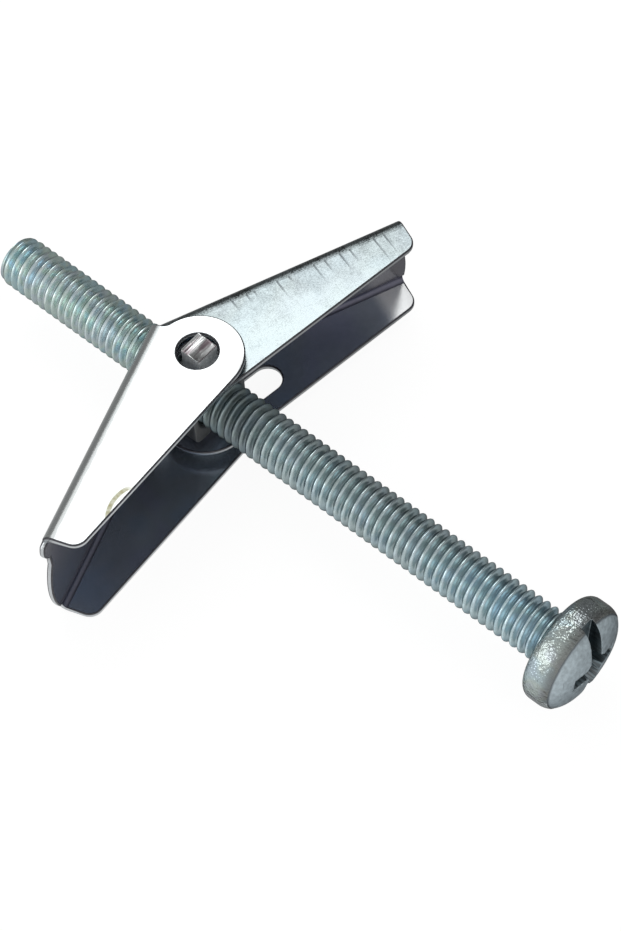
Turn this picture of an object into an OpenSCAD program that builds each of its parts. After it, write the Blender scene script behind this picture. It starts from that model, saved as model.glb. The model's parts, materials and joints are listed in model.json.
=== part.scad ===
// Spring toggle bolt: a machine screw, a trunnion nut that runs along it, two folded
// sheet wings that swing on the nut's tabs, and the wire spring that opens them.
// The screw lies along X with its head towards +X, the wings swing about Z, and
// the outer wing's lower flange lies on z = 0.

/* [Screw] */
// Length from under the head to the tip
screw_l = 75; // [60:1:100]
// Diameter over the thread crests
thread_d = 5.94; // [5.8:0.02:6]
// Distance from one thread crest to the next
pitch = 1; // [0.8:0.05:1.25]
// Depth from the thread's crests to its roots
thread_deep = 0.52; // [0.4:0.02:0.6]
// Width of each crest
crest_w = 0.34; // [0.2:0.02:0.4]
// Diameter of the tip's end face
tip_d = 5.5; // [5.2:0.1:5.6]
// Length over which the crests rise at the tip
tip_taper = 1; // [0.6:0.1:2]

/* [Head] */
// Diameter of the head
head_d = 12.2; // [11.5:0.1:13]
// Height of the head at its middle
head_h = 4.9; // [4.6:0.1:5.4]
// Radius of the smooth crown on top of the head
crown_r = 5.2; // [4.8:0.05:5.5]
// Radius of the ball that the crown is part of
crown_ball_r = 16; // [12:0.5:25]
// Radius of the edge under the head
under_edge_r = 1.2; // [0.6:0.1:1.6]

/* [Drive] */
// Turn of the cross and slot about the screw's axis
drive_turn = -6; // [-45:1:45]
// Distance of the cross and slot from the screw's axis, along Y
drive_off = 0.3; // [0:0.05:0.4]
// Width of the slot across the head
slot_w = 1.6; // [1.2:0.1:2]
// Depth of the slot below the middle of the crown
slot_deep = 2; // [1.5:0.1:2.4]
// Reach of each arm of the cross from its middle
cross_reach = 3.4; // [2.6:0.1:3.8]
// Width of each arm of the cross
cross_w = 1.6; // [1:0.1:2]
// Depth of the cross
cross_deep = 3.2; // [2.4:0.1:3.6]
// Radius of the cross's floor
cross_floor_r = 0.9; // [0.6:0.1:1.4]
// Radius of the cross's hollow middle, at its mouth
cross_mouth_r = 1.6; // [1.4:0.1:2]

/* [Nut] */
// Distance from the screw's tip to the pivot
pivot_from_tip = 27.4; // [15:0.1:40]
// Thickness of the nut along the screw
nut_t = 4.8; // [4.4:0.1:5.2]
// Width of the nut across both the screw and the pivot
nut_w = 8; // [7.8:0.1:9.4]
// Height of the nut's block along the pivot
nut_h = 7.5; // [7.3:0.1:8]
// Thickness of each tab
tab_t = 2.6; // [2.4:0.05:2.9]
// Width of each tab
tab_w = 2.8; // [2.6:0.05:3.1]
// Distance of the tabs from the pivot along Y, inside the play of their holes
tab_off = 0.25; // [0:0.05:0.3]
// How far the upper tab stands out of the outer wing
tab_proud = 0.4; // [0.1:0.1:1]
// Thread clearance between the nut and the screw, on the radius
thread_gap = 0.05; // [0.02:0.01:0.1]

/* [Wings] */
// Thickness of the sheet
sheet_t = 0.65; // [0.5:0.05:0.7]
// Outside radius of the folds
fold_r = 1.2; // [0.9:0.1:1.4]
// Clearance between each end of the nut's block and the inner wing's flange
nut_play = 1.33; // [1.3:0.01:1.6]
// Clearance between each flange of the inner wing and of the outer one
wing_play = 1.07; // [0.9:0.01:1.2]
// Shift of the inner wing along the pivot, which its side play allows
inner_shift = 0.48; // [0.3:0.02:0.5]
// Radius of the round ears
ear_r = 4.95; // [4.6:0.05:5]
// Distance from the pivot to the web's outer face
web_off = 6.2; // [6:0.05:6.4]
// Length from the pivot to the outer wing's end, along the web
outer_l = 26; // [22:0.05:32]
// Length from the pivot to the inner wing's end, along the web
inner_l = 26.9; // [22:0.05:32]
// Angle between the web and the free edges of the outer wing
outer_taper = 15.85; // [13:0.05:17]
// Angle between the web and the free edges of the inner wing
inner_taper = 14.7; // [13:0.05:17]
// Shift of the outer wing's ears from the pivot, along the web
ear_along = 0.3; // [0:0.05:0.5]
// Shift of the outer wing's ears from the pivot, towards the free edges
ear_up = 0.2; // [0:0.05:0.4]
// Length of web left behind the pivot
web_back = 1.75; // [1:0.05:2]
// Radius of the hollow corner between a web's back end and the ears
back_hollow_r = 1.2; // [0.8:0.1:1.6]
// Radius of the free corners
corner_r = 1.6; // [1:0.1:2]
// Diameter of the holes for the nut's tabs
pin_hole_d = 4.45; // [4.35:0.05:4.6]
// Side clearance of the web's notch round the screw
notch_gap = 0.7; // [0.4:0.05:0.9]
// Where the bottom of the notch lies from the pivot, along the web
notch_end = 1.5; // [1.4:0.05:3]

/* [Rest angles] */
// Lean of the outer wing's free edges towards the head
outer_lean = 3.5; // [3:0.05:8]
// Lean of the inner wing's free edges towards the head
inner_lean = 7.5; // [6:0.05:10]

/* [Inner wing slot] */
// Width of the slot in the inner wing's lower flange
port_w = 3.3; // [2.8:0.05:3.4]
// Where the slot's far end lies from the pivot
port_far = 9.45; // [9:0.05:12]
// Where the slot's near end lies from the pivot
port_near = 4.3; // [4:0.05:5]
// Distance of the slot's centre line from the pivot, towards the free edge
port_off = 1.1; // [0.8:0.05:1.3]

/* [Spring] */
// Diameter of the wire
wire_d = 0.75; // [0.6:0.05:0.8]
// Radius of the coil, to the middle of the wire
coil_r = 3.1; // [2.9:0.05:3.4]
// Distance from the pivot to where each leg bears on a web
leg_l = 11; // [9:0.5:14]
// Clearance between wire and web, and between coil and nut
wire_gap = 0.06; // [0.04:0.01:0.1]

/* [Hidden] */
$fn = 96;
cut = 1;                                    // how far cutters run past a face
inner_w = nut_h + 2 * (nut_play + sheet_t); // width of the inner wing over its flanges
outer_w = inner_w + 2 * (wing_play + sheet_t);
axis_z = outer_w / 2;                       // height of the screw's axis
tip_x = -(screw_l + head_h) / 2;            // the whole part is centred on x = 0
seat_x = tip_x + screw_l;
pivot = [tip_x + pivot_from_tip, 0, axis_z];
thread_turns = ceil(screw_l / pitch);
first_crest = crest_w / 4;                  // from the tip to the middle of the first crest
head_r = head_d / 2;
fold_in_r = fold_r - sheet_t;
crown_drop = crown_ball_r - sqrt(pow(crown_ball_r, 2) - pow(crown_r, 2));
crown_ball_sides = 360;
shoulder_r = 2.2;                           // radius of the head's upper shoulder
crown_ledge = 0.08;                         // flat ledge round the crown, inside the shoulder
crown_lip = 0.06;                           // height of the crown's edge over the ledge
ledge_x = head_h - crown_drop - crown_lip;
toe_sunk = 0.3;                             // how far the toe of each arm lies inside the cross's floor
outer_web_turn = outer_lean + outer_taper;  // a web's lean at rest
inner_web_turn = inner_lean + inner_taper;
tab_top = outer_w / 2 + tab_proud;
tab_bottom = outer_w / 2 - wire_gap;        // the lower tab stays inside the flange it rests on
coil_turns = 1;                             // whole turns besides the arc between the legs
wire_sides = 8;
steps_per_turn = 32;
nut_corner_r = 1;
nut_bevel = 0.35;                           // bevel at each mouth of the nut's thread
bore_r = thread_d / 2 + thread_gap;
tab_gap = 0.15;                             // clearance of a tab's corners in its hole
swell_root = 0.3;                           // how far a web swell reaches back into the web
// Swells at the webs' ends: centre over the wing's width, half width, height.
outer_swells = [[-0.17, 4.4, 1.05], [0.35, 1.7, 0.9]];
inner_swells = [[-0.2, 3.3, 0.5], [0.3, 2, 0.45]];
// Each wing's length, the angle of its free edges to the web, and the middle of its ears.
outer_plan = [outer_l, outer_taper, [ear_along, ear_up]];
inner_plan = [inner_l, inner_taper, [0, 0]];
back_steps = 6;
back_sunk = 0.05;                           // how far the hollow corner's end lies inside the ear

function polar(r, a) = [r * cos(a), r * sin(a)];

// ---------- screw ----------

// Half section of the screw: radius along x, distance from the tip along y. The thread
// rises by only 3 degrees, so its turns are drawn as rings.
module screw_section() {
    top = screw_l + head_h / 2;
    rise = (thread_d - tip_d) / 2 / tip_taper;
    root_r = thread_d / 2 - thread_deep;
    intersection() {
        polygon([[0, -pitch], each [for (i = [0:thread_turns]) let (y = first_crest + i * pitch) each
            [[root_r, y - pitch / 2], [thread_d / 2, y - crest_w / 2], [thread_d / 2, y + crest_w / 2]]],
            [root_r, top], [0, top]]);
        polygon([[0, 0], [tip_d / 2, 0], [tip_d / 2 + top * rise, top], [0, top]]);
    }
}

// Half section of the head, seat at y = 0: a round lower edge, a straight rim,
// a round shoulder and a shallow crown.
module head_section() {
    ledge_r = crown_r + crown_ledge;
    shoulder_y = ledge_x - sqrt(pow(shoulder_r, 2) - pow(ledge_r - head_r + shoulder_r, 2));
    square([head_r - under_edge_r, ledge_x]);
    translate([0, under_edge_r]) square([head_r, shoulder_y - under_edge_r]);
    translate([head_r - under_edge_r, under_edge_r]) circle(under_edge_r);
    intersection() {
        translate([head_r - shoulder_r, shoulder_y]) circle(shoulder_r);
        square([head_r, ledge_x]);
    }
    intersection() {
        translate([0, head_h - crown_ball_r]) circle(crown_ball_r, $fn = crown_ball_sides);
        square([crown_r, head_h]);
    }
}

// One arm of the cross: its end slopes in towards the floor.
module cross_arm() {
    rotate([90, 0, 0]) linear_extrude(cross_w, center = true)
        polygon([[0, cut], [cross_reach, cut], [cross_reach, 0],
                 [cross_floor_r - toe_sunk, -cross_deep], [0, -cross_deep]]);
}

// Slot and cross, cut down from z = 0 at the middle of the crown.
module drive() {
    translate([-head_d / 2, -slot_w / 2, -slot_deep]) cube([head_d, slot_w, slot_deep + cut]);
    for (i = [0:3]) rotate(90 * i) cross_arm();
    translate([0, 0, -cross_deep]) cylinder(r1 = cross_floor_r, r2 = cross_mouth_r, h = cross_deep + cut);
}

module machine_screw() {
    color([0.72, 0.76, 0.78])
    translate([tip_x, 0, axis_z]) rotate([90, 0, 90])
    difference() {
        union() {
            rotate_extrude() screw_section();
            translate([0, 0, screw_l]) rotate_extrude() intersection() {
                head_section();
                square([head_r, head_h]);
            }
        }
        translate([drive_off, 0, screw_l + head_h]) rotate(90 + drive_turn) drive();
    }
}

// ---------- nut ----------

// Outline of the block across the screw, with round corners.
module block_outline() {
    for (y = [-1, 1], z = [-1, 1])
        translate([y * (nut_w / 2 - nut_corner_r), z * (nut_h / 2 - nut_corner_r)]) circle(nut_corner_r);
    square([nut_w - 2 * nut_corner_r, nut_h], center = true);
    square([nut_w, nut_h - 2 * nut_corner_r], center = true);
}

// A squared tab whose corners are rounded to run in the wings' holes.
module tab(length) {
    intersection() {
        translate([-tab_t / 2, tab_off - tab_w / 2, 0]) cube([tab_t, tab_w, length]);
        cylinder(r = pin_hole_d / 2 - tab_gap, h = length);
    }
}

module trunnion_nut() {
    color([0.62, 0.66, 0.68])
    translate(pivot) difference() {
        union() {
            rotate([90, 0, 90]) linear_extrude(nut_t, center = true) block_outline();
            tab(tab_top);
            mirror([0, 0, 1]) tab(tab_bottom);
        }
        rotate([0, 90, 0]) {
            cylinder(r = bore_r, h = nut_t + 2 * cut, center = true);
            for (side = [0, 1]) mirror([0, 0, side]) translate([0, 0, nut_t / 2 - nut_bevel])
                cylinder(r1 = bore_r, r2 = bore_r + nut_bevel + cut, h = nut_bevel + cut);
        }
    }
}

// ---------- wings ----------

// Flange outline in the wing's own frame: pivot at 0, the web's outer face along
// y = -web_off, the free edge closing in on it by the taper, tangent to the ear, and a
// hollow corner behind the pivot, turned from the web to the ear.
module flange_outline(plan) {
    end = plan[0];
    normal = [sin(plan[1]), cos(plan[1])];  // of the free edge
    ear = plan[2];
    corner_x = end - corner_r;
    corner_y = (ear * normal + ear_r - corner_r - corner_x * normal[0]) / normal[1];
    hollow_x = -web_back - back_hollow_r;
    hollow_y = ear[1] - sqrt(pow(ear_r + back_hollow_r, 2) - pow(hollow_x - ear[0], 2));
    hollow_turn = atan2(ear[1] - hollow_y, ear[0] - hollow_x);
    function hollow(r, share) = [hollow_x, hollow_y] + polar(r, hollow_turn * share);
    translate(ear) circle(ear_r);
    translate([corner_x, corner_y]) circle(corner_r);
    polygon([[-web_back, -web_off], [end, -web_off], [end, corner_y],
             [corner_x, corner_y] + corner_r * normal, ear + ear_r * normal, [-web_back, 0],
             hollow(back_hollow_r + back_sunk, 1),
             each [for (i = [back_steps - 1:-1:0]) hollow(back_hollow_r, i / back_steps)]]);
}

// A channel's filled section: the folded side at x = 0 with round corners, open towards +x.
module channel_fill(w, r) {
    depth = web_off + ear_r + cut;
    translate([r, -w / 2]) square([depth - r, w]);
    translate([0, r - w / 2]) square([depth, w - 2 * r]);
    for (side = [-1, 1]) translate([r, side * (w / 2 - r)]) circle(r);
}

// The folded channel, from behind the ear to the wing's end.
module channel(w, end) {
    translate([-ear_r - cut, -web_off, 0]) rotate([90, 0, 90]) linear_extrude(ear_r + cut + end)
        difference() {
            channel_fill(w, fold_r);
            translate([sheet_t, 0]) channel_fill(w - 2 * sheet_t, fold_in_r);
        }
}

// A low round swell of the web past the flanges' end: centre, half width and height.
module web_swell(w, end, swell) {
    r = (pow(swell[1], 2) + pow(swell[2], 2)) / (2 * swell[2]);
    translate([0, sheet_t - web_off, 0]) rotate([90, 0, 0]) linear_extrude(sheet_t) intersection() {
        translate([end + swell[2] - r, swell[0] * w]) circle(r);
        translate([end - swell_root, fold_r - w / 2]) square([w, w - 2 * fold_r]);
    }
}

// One wing over its flanges' width w. The screw lies screw_z above the wing's middle.
module wing(w, screw_z, plan, swells) {
    notch_r = thread_d / 2 + notch_gap;
    difference() {
        union() {
            intersection() {
                channel(w, plan[0]);
                translate([0, 0, -w / 2]) linear_extrude(w) flange_outline(plan);
            }
            for (swell = swells) web_swell(w, plan[0], swell);
        }
        cylinder(d = pin_hole_d, h = w + 2 * cut, center = true);
        translate([notch_end - notch_r, cut - web_off, screw_z]) rotate([90, 0, 0])
            cylinder(r = notch_r, h = 2 * cut);
    }
}

module outer_wing() {
    color([0.86, 0.88, 0.89])
    translate(pivot) rotate(outer_web_turn - 90) wing(outer_w, 0, outer_plan, outer_swells);
}

// The slot through the inner wing's lower flange, along its free edge.
module port() {
    reach = [port_near + port_w / 2, port_far - port_w / 2];
    rotate(-inner_taper) translate([0, port_off, -inner_w / 2 - cut]) {
        for (x = reach) translate([x, 0, 0]) cylinder(d = port_w, h = sheet_t + 2 * cut);
        translate([reach[0], -port_w / 2, 0]) cube([reach[1] - reach[0], port_w, sheet_t + 2 * cut]);
    }
}

module inner_wing() {
    color([0.74, 0.80, 0.84])
    translate(pivot + [0, 0, inner_shift]) rotate(90 - inner_web_turn) mirror([0, 1, 0])
    difference() {
        wing(inner_w, -inner_shift, inner_plan, inner_swells);
        port();
    }
}

// ---------- spring ----------

function spin(p, a) = [p[0] * cos(a) - p[1] * sin(a), p[0] * sin(a) + p[1] * cos(a)];
function unit(v) = v / norm(v);

// Where a leg bears on a web, seen along the pivot.
leg_in = web_off - sheet_t - wire_gap - wire_d / 2;
outer_foot = spin([leg_l, -leg_in], outer_web_turn - 90);
inner_foot = spin([leg_l, leg_in], 90 - inner_web_turn);
// Angles at which the straight legs touch the coil, on the side towards the tip.
leg_open = acos(coil_r / norm(outer_foot));
leave_outer = atan2(outer_foot[1], outer_foot[0]) - leg_open + 360;
leave_inner = atan2(inner_foot[1], inner_foot[0]) + leg_open;
coil_turn = leave_outer - leave_inner + 360 * coil_turns;
coil_low = nut_h / 2 + wire_gap + wire_d / 2;
coil_high = inner_w / 2 + inner_shift - sheet_t - wire_gap - wire_d / 2;
coil_steps = round(steps_per_turn * coil_turn / 360);
wire_path = concat(
    [[outer_foot[0], outer_foot[1], coil_low]],
    [for (i = [0:coil_steps]) let (t = i / coil_steps, p = polar(coil_r, leave_outer - t * coil_turn))
        [p[0], p[1], coil_low + t * (coil_high - coil_low)]],
    [[inner_foot[0], inner_foot[1], coil_high]]);

// A round wire swept along a path that stays nearly level.
module wire(path, r, sides) {
    n = len(path);
    function heading(i) = unit(path[min(i + 1, n - 1)] - path[max(i - 1, 0)]);
    function ring(i) = let (d = heading(i), side = unit(cross([0, 0, 1], d)), up = cross(d, side))
        [for (k = [0:sides - 1]) path[i] + r * (cos(360 * k / sides) * side + sin(360 * k / sides) * up)];
    points = [for (i = [0:n - 1]) each ring(i)];
    walls = [for (i = [0:n - 2], k = [0:sides - 1]) let (a = i * sides + k, b = i * sides + (k + 1) % sides)
        [b, a, a + sides, b + sides]];
    polyhedron(points, concat(walls, [[for (k = [0:sides - 1]) k],
        [for (k = [sides - 1:-1:0]) (n - 1) * sides + k]]));
}

module torsion_spring() {
    color([0.55, 0.58, 0.60])
    translate(pivot) wire(wire_path, wire_d / 2, wire_sides);
}

machine_screw();
trunnion_nut();
outer_wing();
inner_wing();
torsion_spring();
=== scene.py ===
import json
import math

import bmesh
import bpy
from bpy.props import FloatProperty, FloatVectorProperty, IntProperty, PointerProperty
from mathutils import Matrix, Vector


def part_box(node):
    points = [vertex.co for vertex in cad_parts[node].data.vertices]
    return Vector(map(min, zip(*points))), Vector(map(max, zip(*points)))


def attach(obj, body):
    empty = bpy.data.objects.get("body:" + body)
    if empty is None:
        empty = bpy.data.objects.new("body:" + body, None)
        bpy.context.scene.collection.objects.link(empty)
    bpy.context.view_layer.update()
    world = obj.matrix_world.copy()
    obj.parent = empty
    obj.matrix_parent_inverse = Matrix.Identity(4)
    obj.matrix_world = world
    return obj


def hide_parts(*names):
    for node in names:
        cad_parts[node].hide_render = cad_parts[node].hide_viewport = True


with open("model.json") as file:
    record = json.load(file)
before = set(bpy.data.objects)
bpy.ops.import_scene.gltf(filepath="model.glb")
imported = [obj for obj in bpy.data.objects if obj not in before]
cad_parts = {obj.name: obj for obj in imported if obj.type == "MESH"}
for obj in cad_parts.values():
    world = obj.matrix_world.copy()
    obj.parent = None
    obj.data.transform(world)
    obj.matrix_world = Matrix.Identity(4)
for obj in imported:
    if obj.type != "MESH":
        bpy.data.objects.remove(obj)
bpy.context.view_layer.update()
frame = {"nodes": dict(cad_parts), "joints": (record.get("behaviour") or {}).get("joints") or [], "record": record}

bl_info = {
    "name": "Spring Toggle Bolt",
    "version": (1, 0, 0),
    "blender": (4, 5, 0),
    "location": "3D View > Sidebar > Toggle Bolt",
    "description": "Finishes a zinc-plated spring toggle bolt: rolled screw, nut, folded wings and spring",
    "category": "Object",
}

# Shapes are modelled in millimetres and scaled to metres when a piece is made.
MM = 0.001


# ---------- what the frame says, in millimetres ----------

def corners(node):
    """The lowest and highest corner of a CAD node, in millimetres."""
    low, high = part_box(node)
    return low / MM, high / MM


def mount(name):
    """One mount of the record."""
    return next(m for m in frame["record"]["mounts"] if m["name"] == name)


def web_axes(node, side, settings):
    """A wing's own axes: along its web, and from the web towards the free edges."""
    x, y, _ = mount(node + "_grip")["axis"]
    lean = math.atan2(abs(y), x) + getattr(settings, node.replace("wing", "taper"))
    return (Vector((math.sin(lean), side * math.cos(lean), 0)),
            Vector((math.cos(lean), -side * math.sin(lean), 0)))


SCREW_LOW, SCREW_HIGH = corners("machine_screw")
SPRING_LOW, SPRING_HIGH = corners("torsion_spring")
HINGE = next(j for j in frame["joints"] if j["name"] == "outer_wing_hinge")
PIVOT = Vector(HINGE["pos_m"]) / MM
SEAT_X = mount("head_seat")["pos_m"][0] / MM
TIP_X = SCREW_LOW.x
HEAD_R = SCREW_HIGH.z - PIVOT.z


# ---------- settings ----------

def length(name, text, value):
    """A length, given in millimetres and kept in metres."""
    return FloatProperty(name=name, description=text, default=value * MM, unit="LENGTH", precision=5)


def colour(name, text, value):
    """A colour of the finish."""
    return FloatVectorProperty(name=name, description=text, default=value, subtype="COLOR", size=3,
                               min=0, max=1)


def angle(name, text, degrees):
    """An angle, given in degrees."""
    return FloatProperty(name=name, description=text, default=math.radians(degrees), subtype="ANGLE")


class ScrewSettings(bpy.types.PropertyGroup):
    """Sizes and colours of the screw."""

    pitch: length("Pitch", "Distance from one thread crest to the next", 1.0093)
    crest_r: length("Crest Radius", "Radius over the thread crests", 2.96)
    thread_deep: length("Thread Depth", "Depth from the crests to the roots", 0.52)
    tip_r: length("Tip Radius", "Radius of the tip's end face", 2.68)
    tip_taper: length("Tip Taper", "Length over which the thread runs out at the tip", 1.1)
    head_h: length("Head Height", "Height of the head at its middle", 4.9)
    crown_r: length("Crown Radius", "Radius within which the crown is part of a ball", 4.2)
    crown_ball_r: length("Crown Ball", "Radius of the ball that the crown is part of", 16.0)
    crease_r: length("Crease Radius", "Radius of the crease where the crown meets the shoulder", 5.8)
    crease_x: length("Crease Height", "Height of the crease over the head's seat", 3.37)
    shoulder_r: length("Shoulder Radius", "Radius of the shoulder round the crown", 2.2)
    under_edge_r: length("Lower Edge Radius", "Radius of the edge under the head", 1.2)
    slot_w: length("Slot Width", "Width of the slot across the head", 1.6)
    slot_deep: length("Slot Depth", "Depth of the slot at the middle", 2.0)
    cross_reach: length("Cross Reach", "Reach of each arm of the cross", 3.4)
    cross_w: length("Cross Width", "Width of each arm of the cross", 1.6)
    cross_deep: length("Cross Depth", "Depth of the cross at the middle", 3.2)
    drive_off: length("Drive Offset", "Distance of the cross and slot from the screw's axis", 0.3)
    drive_turn: angle("Drive Turn", "Turn of the cross and slot about the screw's axis", -6)
    thread_colour: colour("Thread Colour", "Blue passivated zinc on the thread", (0.50, 0.60, 0.635))
    near_head_colour: colour("Near Head Colour", "Bluer zinc on the thread by the head", (0.56, 0.70, 0.765))
    head_colour: colour("Head Colour", "Bright zinc on the head", (0.54, 0.61, 0.635))
    crown_colour: colour("Crown Colour", "Smooth zinc on the crown", (0.49, 0.57, 0.61))


class NutSettings(bpy.types.PropertyGroup):
    """Sizes and colours of the trunnion nut."""

    edge: length("Edge Rounding", "Rounding of the block's edges", 0.12)
    tab_crown: length("Tab Crown", "How far the tab's end falls away at its sides", 0.35)
    colour: colour("Nut Colour", "Dull zinc on the nut", (0.84, 0.87, 0.88))
    sheared_colour: colour("Sheared Colour", "Sheared end of the tab", (0.78, 0.80, 0.80))


class WingSettings(bpy.types.PropertyGroup):
    """Sizes and colours of the two wings."""

    sheet: length("Sheet Thickness", "Thickness of the sheet", 0.65)
    web_off: length("Web Distance", "Distance from the pivot to a web's outer face", 6.2)
    fold_r: length("Fold Radius", "Outside radius of the folds", 1.2)
    edge: length("Edge Rounding", "Rounding of the sheared edges", 0.16)
    outer_taper: angle("Outer Taper", "Angle between the outer wing's web and its free edges", 15.85)
    inner_taper: angle("Inner Taper", "Angle between the inner wing's web and its free edges", 14.7)
    outer_colour: colour("Outer Wing", "Bright zinc on the outer wing", (0.74, 0.77, 0.78))
    # The inner wing's colour is the same zinc as the outer wing's, painted darker as shade.
    inner_colour: colour("Inner Wing", "Bright zinc on the inner wing", (0.455, 0.52, 0.54))
    # The inside colour is thin plating and painted shade in the channels.
    inside_colour: colour("Inside", "Thin blue plating inside the channels", (0.39, 0.44, 0.565))
    # Painted shade in the folds' inner corners and the lower ear's hole.
    fold_colour: colour("Inside Fold", "Dull plating in the folds' inner corners", (0.18, 0.18, 0.23))
    edge_colour: colour("Sheared Edge", "Sheared edges of the sheet", (0.70, 0.73, 0.75))
    # The rim's colour is a painted dark outline, as shade along the rounded corners.
    rim_colour: colour("Rim", "Burnished corners of the sheared edges", (0.10, 0.10, 0.11))
    stain_colour: colour("Stain", "Yellow run on the outer wing", (0.23, 0.215, 0.12))


class SpringSettings(bpy.types.PropertyGroup):
    """Sizes and colours of the spring."""

    wire: length("Wire", "Diameter of the wire", 0.75)
    leg: length("Leg", "Distance from the pivot to where a leg bears on a web", 11.0)
    gap: length("Gap", "Clearance between the wire and a web", 0.06)
    sides: IntProperty(name="Wire Sides", description="Sides of the round wire", default=16, min=8)
    colour: colour("Wire Colour", "Bright drawn wire", (0.42, 0.44, 0.46))


class StageSettings(bpy.types.PropertyGroup):
    """The camera, the lamps and the floor."""

    azimuth: angle("Azimuth", "Direction the camera stands in, from -Y towards +X", 44.8)
    elevation: angle("Elevation", "Height of the camera over the horizon", 58.07)
    roll: angle("Roll", "Turn of the camera about its own line of sight", -4.65)
    distance: length("Distance", "Distance from the camera to what it aims at", 290.0)
    lens: FloatProperty(name="Lens", description="Focal length, on a 36 mm sensor", default=108.97)
    fill: FloatProperty(name="Fill", description="Strength of the even light from all round", default=0.7)
    softbox: FloatProperty(name="Softbox", description="Power of the overhead softbox, in watts",
                           default=0.27)
    floor_colour: colour("Floor Colour", "Plain pale floor", (0.9, 0.9, 0.9))


def mm(value):
    """A length setting in millimetres."""
    return value / MM


# ---------- meshes ----------

# Edges that turn by more than this are corners.
CORNER = math.radians(40)


def resize(bm, factor):
    """Scales a mesh about the origin."""
    bmesh.ops.scale(bm, vec=(factor, factor, factor), verts=bm.verts)


def move(bm, x, y, z):
    """Moves a mesh."""
    bmesh.ops.translate(bm, verts=bm.verts, vec=(x, y, z))


def turn_about_x(bm, turn):
    """Turns a mesh about the X axis."""
    bmesh.ops.rotate(bm, verts=bm.verts, cent=(0, 0, 0), matrix=Matrix.Rotation(turn, 3, "X"))


def link_piece(bm, name, materials, smooth_angle=CORNER):
    """Turns a bmesh in millimetres into an object at the origin, in metres."""
    resize(bm, MM)
    mesh = bpy.data.meshes.new(name)
    bm.to_mesh(mesh)
    bm.free()
    for material in materials:
        mesh.materials.append(material)
    mesh.shade_smooth()
    mesh.set_sharp_from_angle(angle=smooth_angle)
    piece = bpy.data.objects.new(name, mesh)
    bpy.context.scene.collection.objects.link(piece)
    return piece


def place(piece, body, slot, *nodes):
    """Ties a piece to its body and hides the CAD nodes it stands for. Its record slot is not used."""
    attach(piece, body)
    if nodes:
        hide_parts(*nodes)


def even_normals(piece):
    """Keeps large flat faces flat beside their rounded edges."""
    weighted = piece.modifiers.new("even_normals", "WEIGHTED_NORMAL")
    weighted.keep_sharp = True


def cad_copy(node):
    """A closed copy of a CAD node in millimetres, with its flat faces whole again."""
    bm = bmesh.new()
    bm.from_mesh(frame["nodes"][node].data)
    resize(bm, 1 / MM)
    bmesh.ops.remove_doubles(bm, verts=bm.verts, dist=1e-4)
    bmesh.ops.dissolve_limit(bm, angle_limit=math.radians(0.5), verts=bm.verts, edges=bm.edges)
    return bm


def applied_mesh(holder):
    """The mesh of an object with its modifiers or its curve's bevel applied."""
    bpy.context.view_layer.update()
    graph = bpy.context.evaluated_depsgraph_get()
    return bpy.data.meshes.new_from_object(holder.evaluated_get(graph), depsgraph=graph)


def sharp_edges(bm, limit):
    """Edges between two faces that turn by more than a limit."""
    return [e for e in bm.edges if len(e.link_faces) == 2 and e.calc_face_angle() > limit]


def bevel(bm, edges, width, segments=2, material=-1):
    """Rounds edges, in a material of their own or, with -1, in their neighbours'."""
    bmesh.ops.bevel(bm, geom=edges, offset=width, offset_type="OFFSET", affect="EDGES",
                    segments=segments, profile=0.5, material=material)


def polyline(bm, points):
    """A chain of edges through points."""
    verts = [bm.verts.new(p) for p in points]
    edges = [bm.edges.new(pair) for pair in zip(verts, verts[1:])]
    return verts + edges


def revolve(points, steps):
    """A closed solid turned about the X axis from a half section that starts and ends on it."""
    bm = bmesh.new()
    outline = polyline(bm, [(x, 0, r) for x, r in points])
    bmesh.ops.spin(bm, geom=outline, cent=(0, 0, 0), axis=(1, 0, 0), angle=math.tau,
                   steps=steps, use_merge=True)
    bmesh.ops.remove_doubles(bm, verts=bm.verts, dist=1e-5)
    bmesh.ops.recalc_face_normals(bm, faces=bm.faces)
    return bm


def arc(centre, radius, start, end, steps):
    """Points along an arc, from one angle to another."""
    turns = [start + (end - start) * i / steps for i in range(steps + 1)]
    return [(centre[0] + radius * math.cos(a), centre[1] + radius * math.sin(a)) for a in turns]


def bow(first, pull, last, steps):
    """Points along a bow from one point to another, pulled towards a third."""
    shares = [i / steps for i in range(steps + 1)]
    return [tuple((1 - t) ** 2 * a + 2 * t * (1 - t) * b + t * t * c for a, b, c in zip(first, pull, last))
            for t in shares]


# ---------- shader helpers ----------

def feed(tree, socket, value):
    """Links a socket to another one, or sets its value."""
    if isinstance(value, bpy.types.NodeSocket):
        tree.links.new(value, socket)
    else:
        socket.default_value = value


def add(tree, kind, inputs=(), **settings):
    """A node with its settings and inputs, which are a dict or a list of values."""
    node = tree.nodes.new(kind)
    for name, value in settings.items():
        setattr(node, name, value)
    pairs = inputs.items() if isinstance(inputs, dict) else enumerate(inputs)
    for key, value in pairs:
        feed(tree, node.inputs[key], value)
    return node


def calc(tree, operation, *values, clamp=False):
    """The result of a Math node."""
    return add(tree, "ShaderNodeMath", values, operation=operation, use_clamp=clamp).outputs[0]


def times(tree, *values):
    """The product of some values."""
    product = values[0]
    for value in values[1:]:
        product = calc(tree, "MULTIPLY", product, value)
    return product


def scaled(tree, value, gain, base=0.0, clamp=False):
    """A value times a gain, on top of a base."""
    return calc(tree, "MULTIPLY_ADD", value, gain, base, clamp=clamp)


def less(tree, value, taken, clamp=False):
    """A value with another one taken away."""
    return calc(tree, "SUBTRACT", value, taken, clamp=clamp)


def rise(tree, value, low, high):
    """0 below one value and 1 above another, with a smooth step between them."""
    node = add(tree, "ShaderNodeMapRange", {"Value": value, "From Min": low, "From Max": high},
               interpolation_type="SMOOTHSTEP")
    return node.outputs["Result"]


def fall(tree, value, low, high):
    """1 below one value and 0 above another, with a smooth step between them."""
    return less(tree, 1.0, rise(tree, value, low, high))


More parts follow.
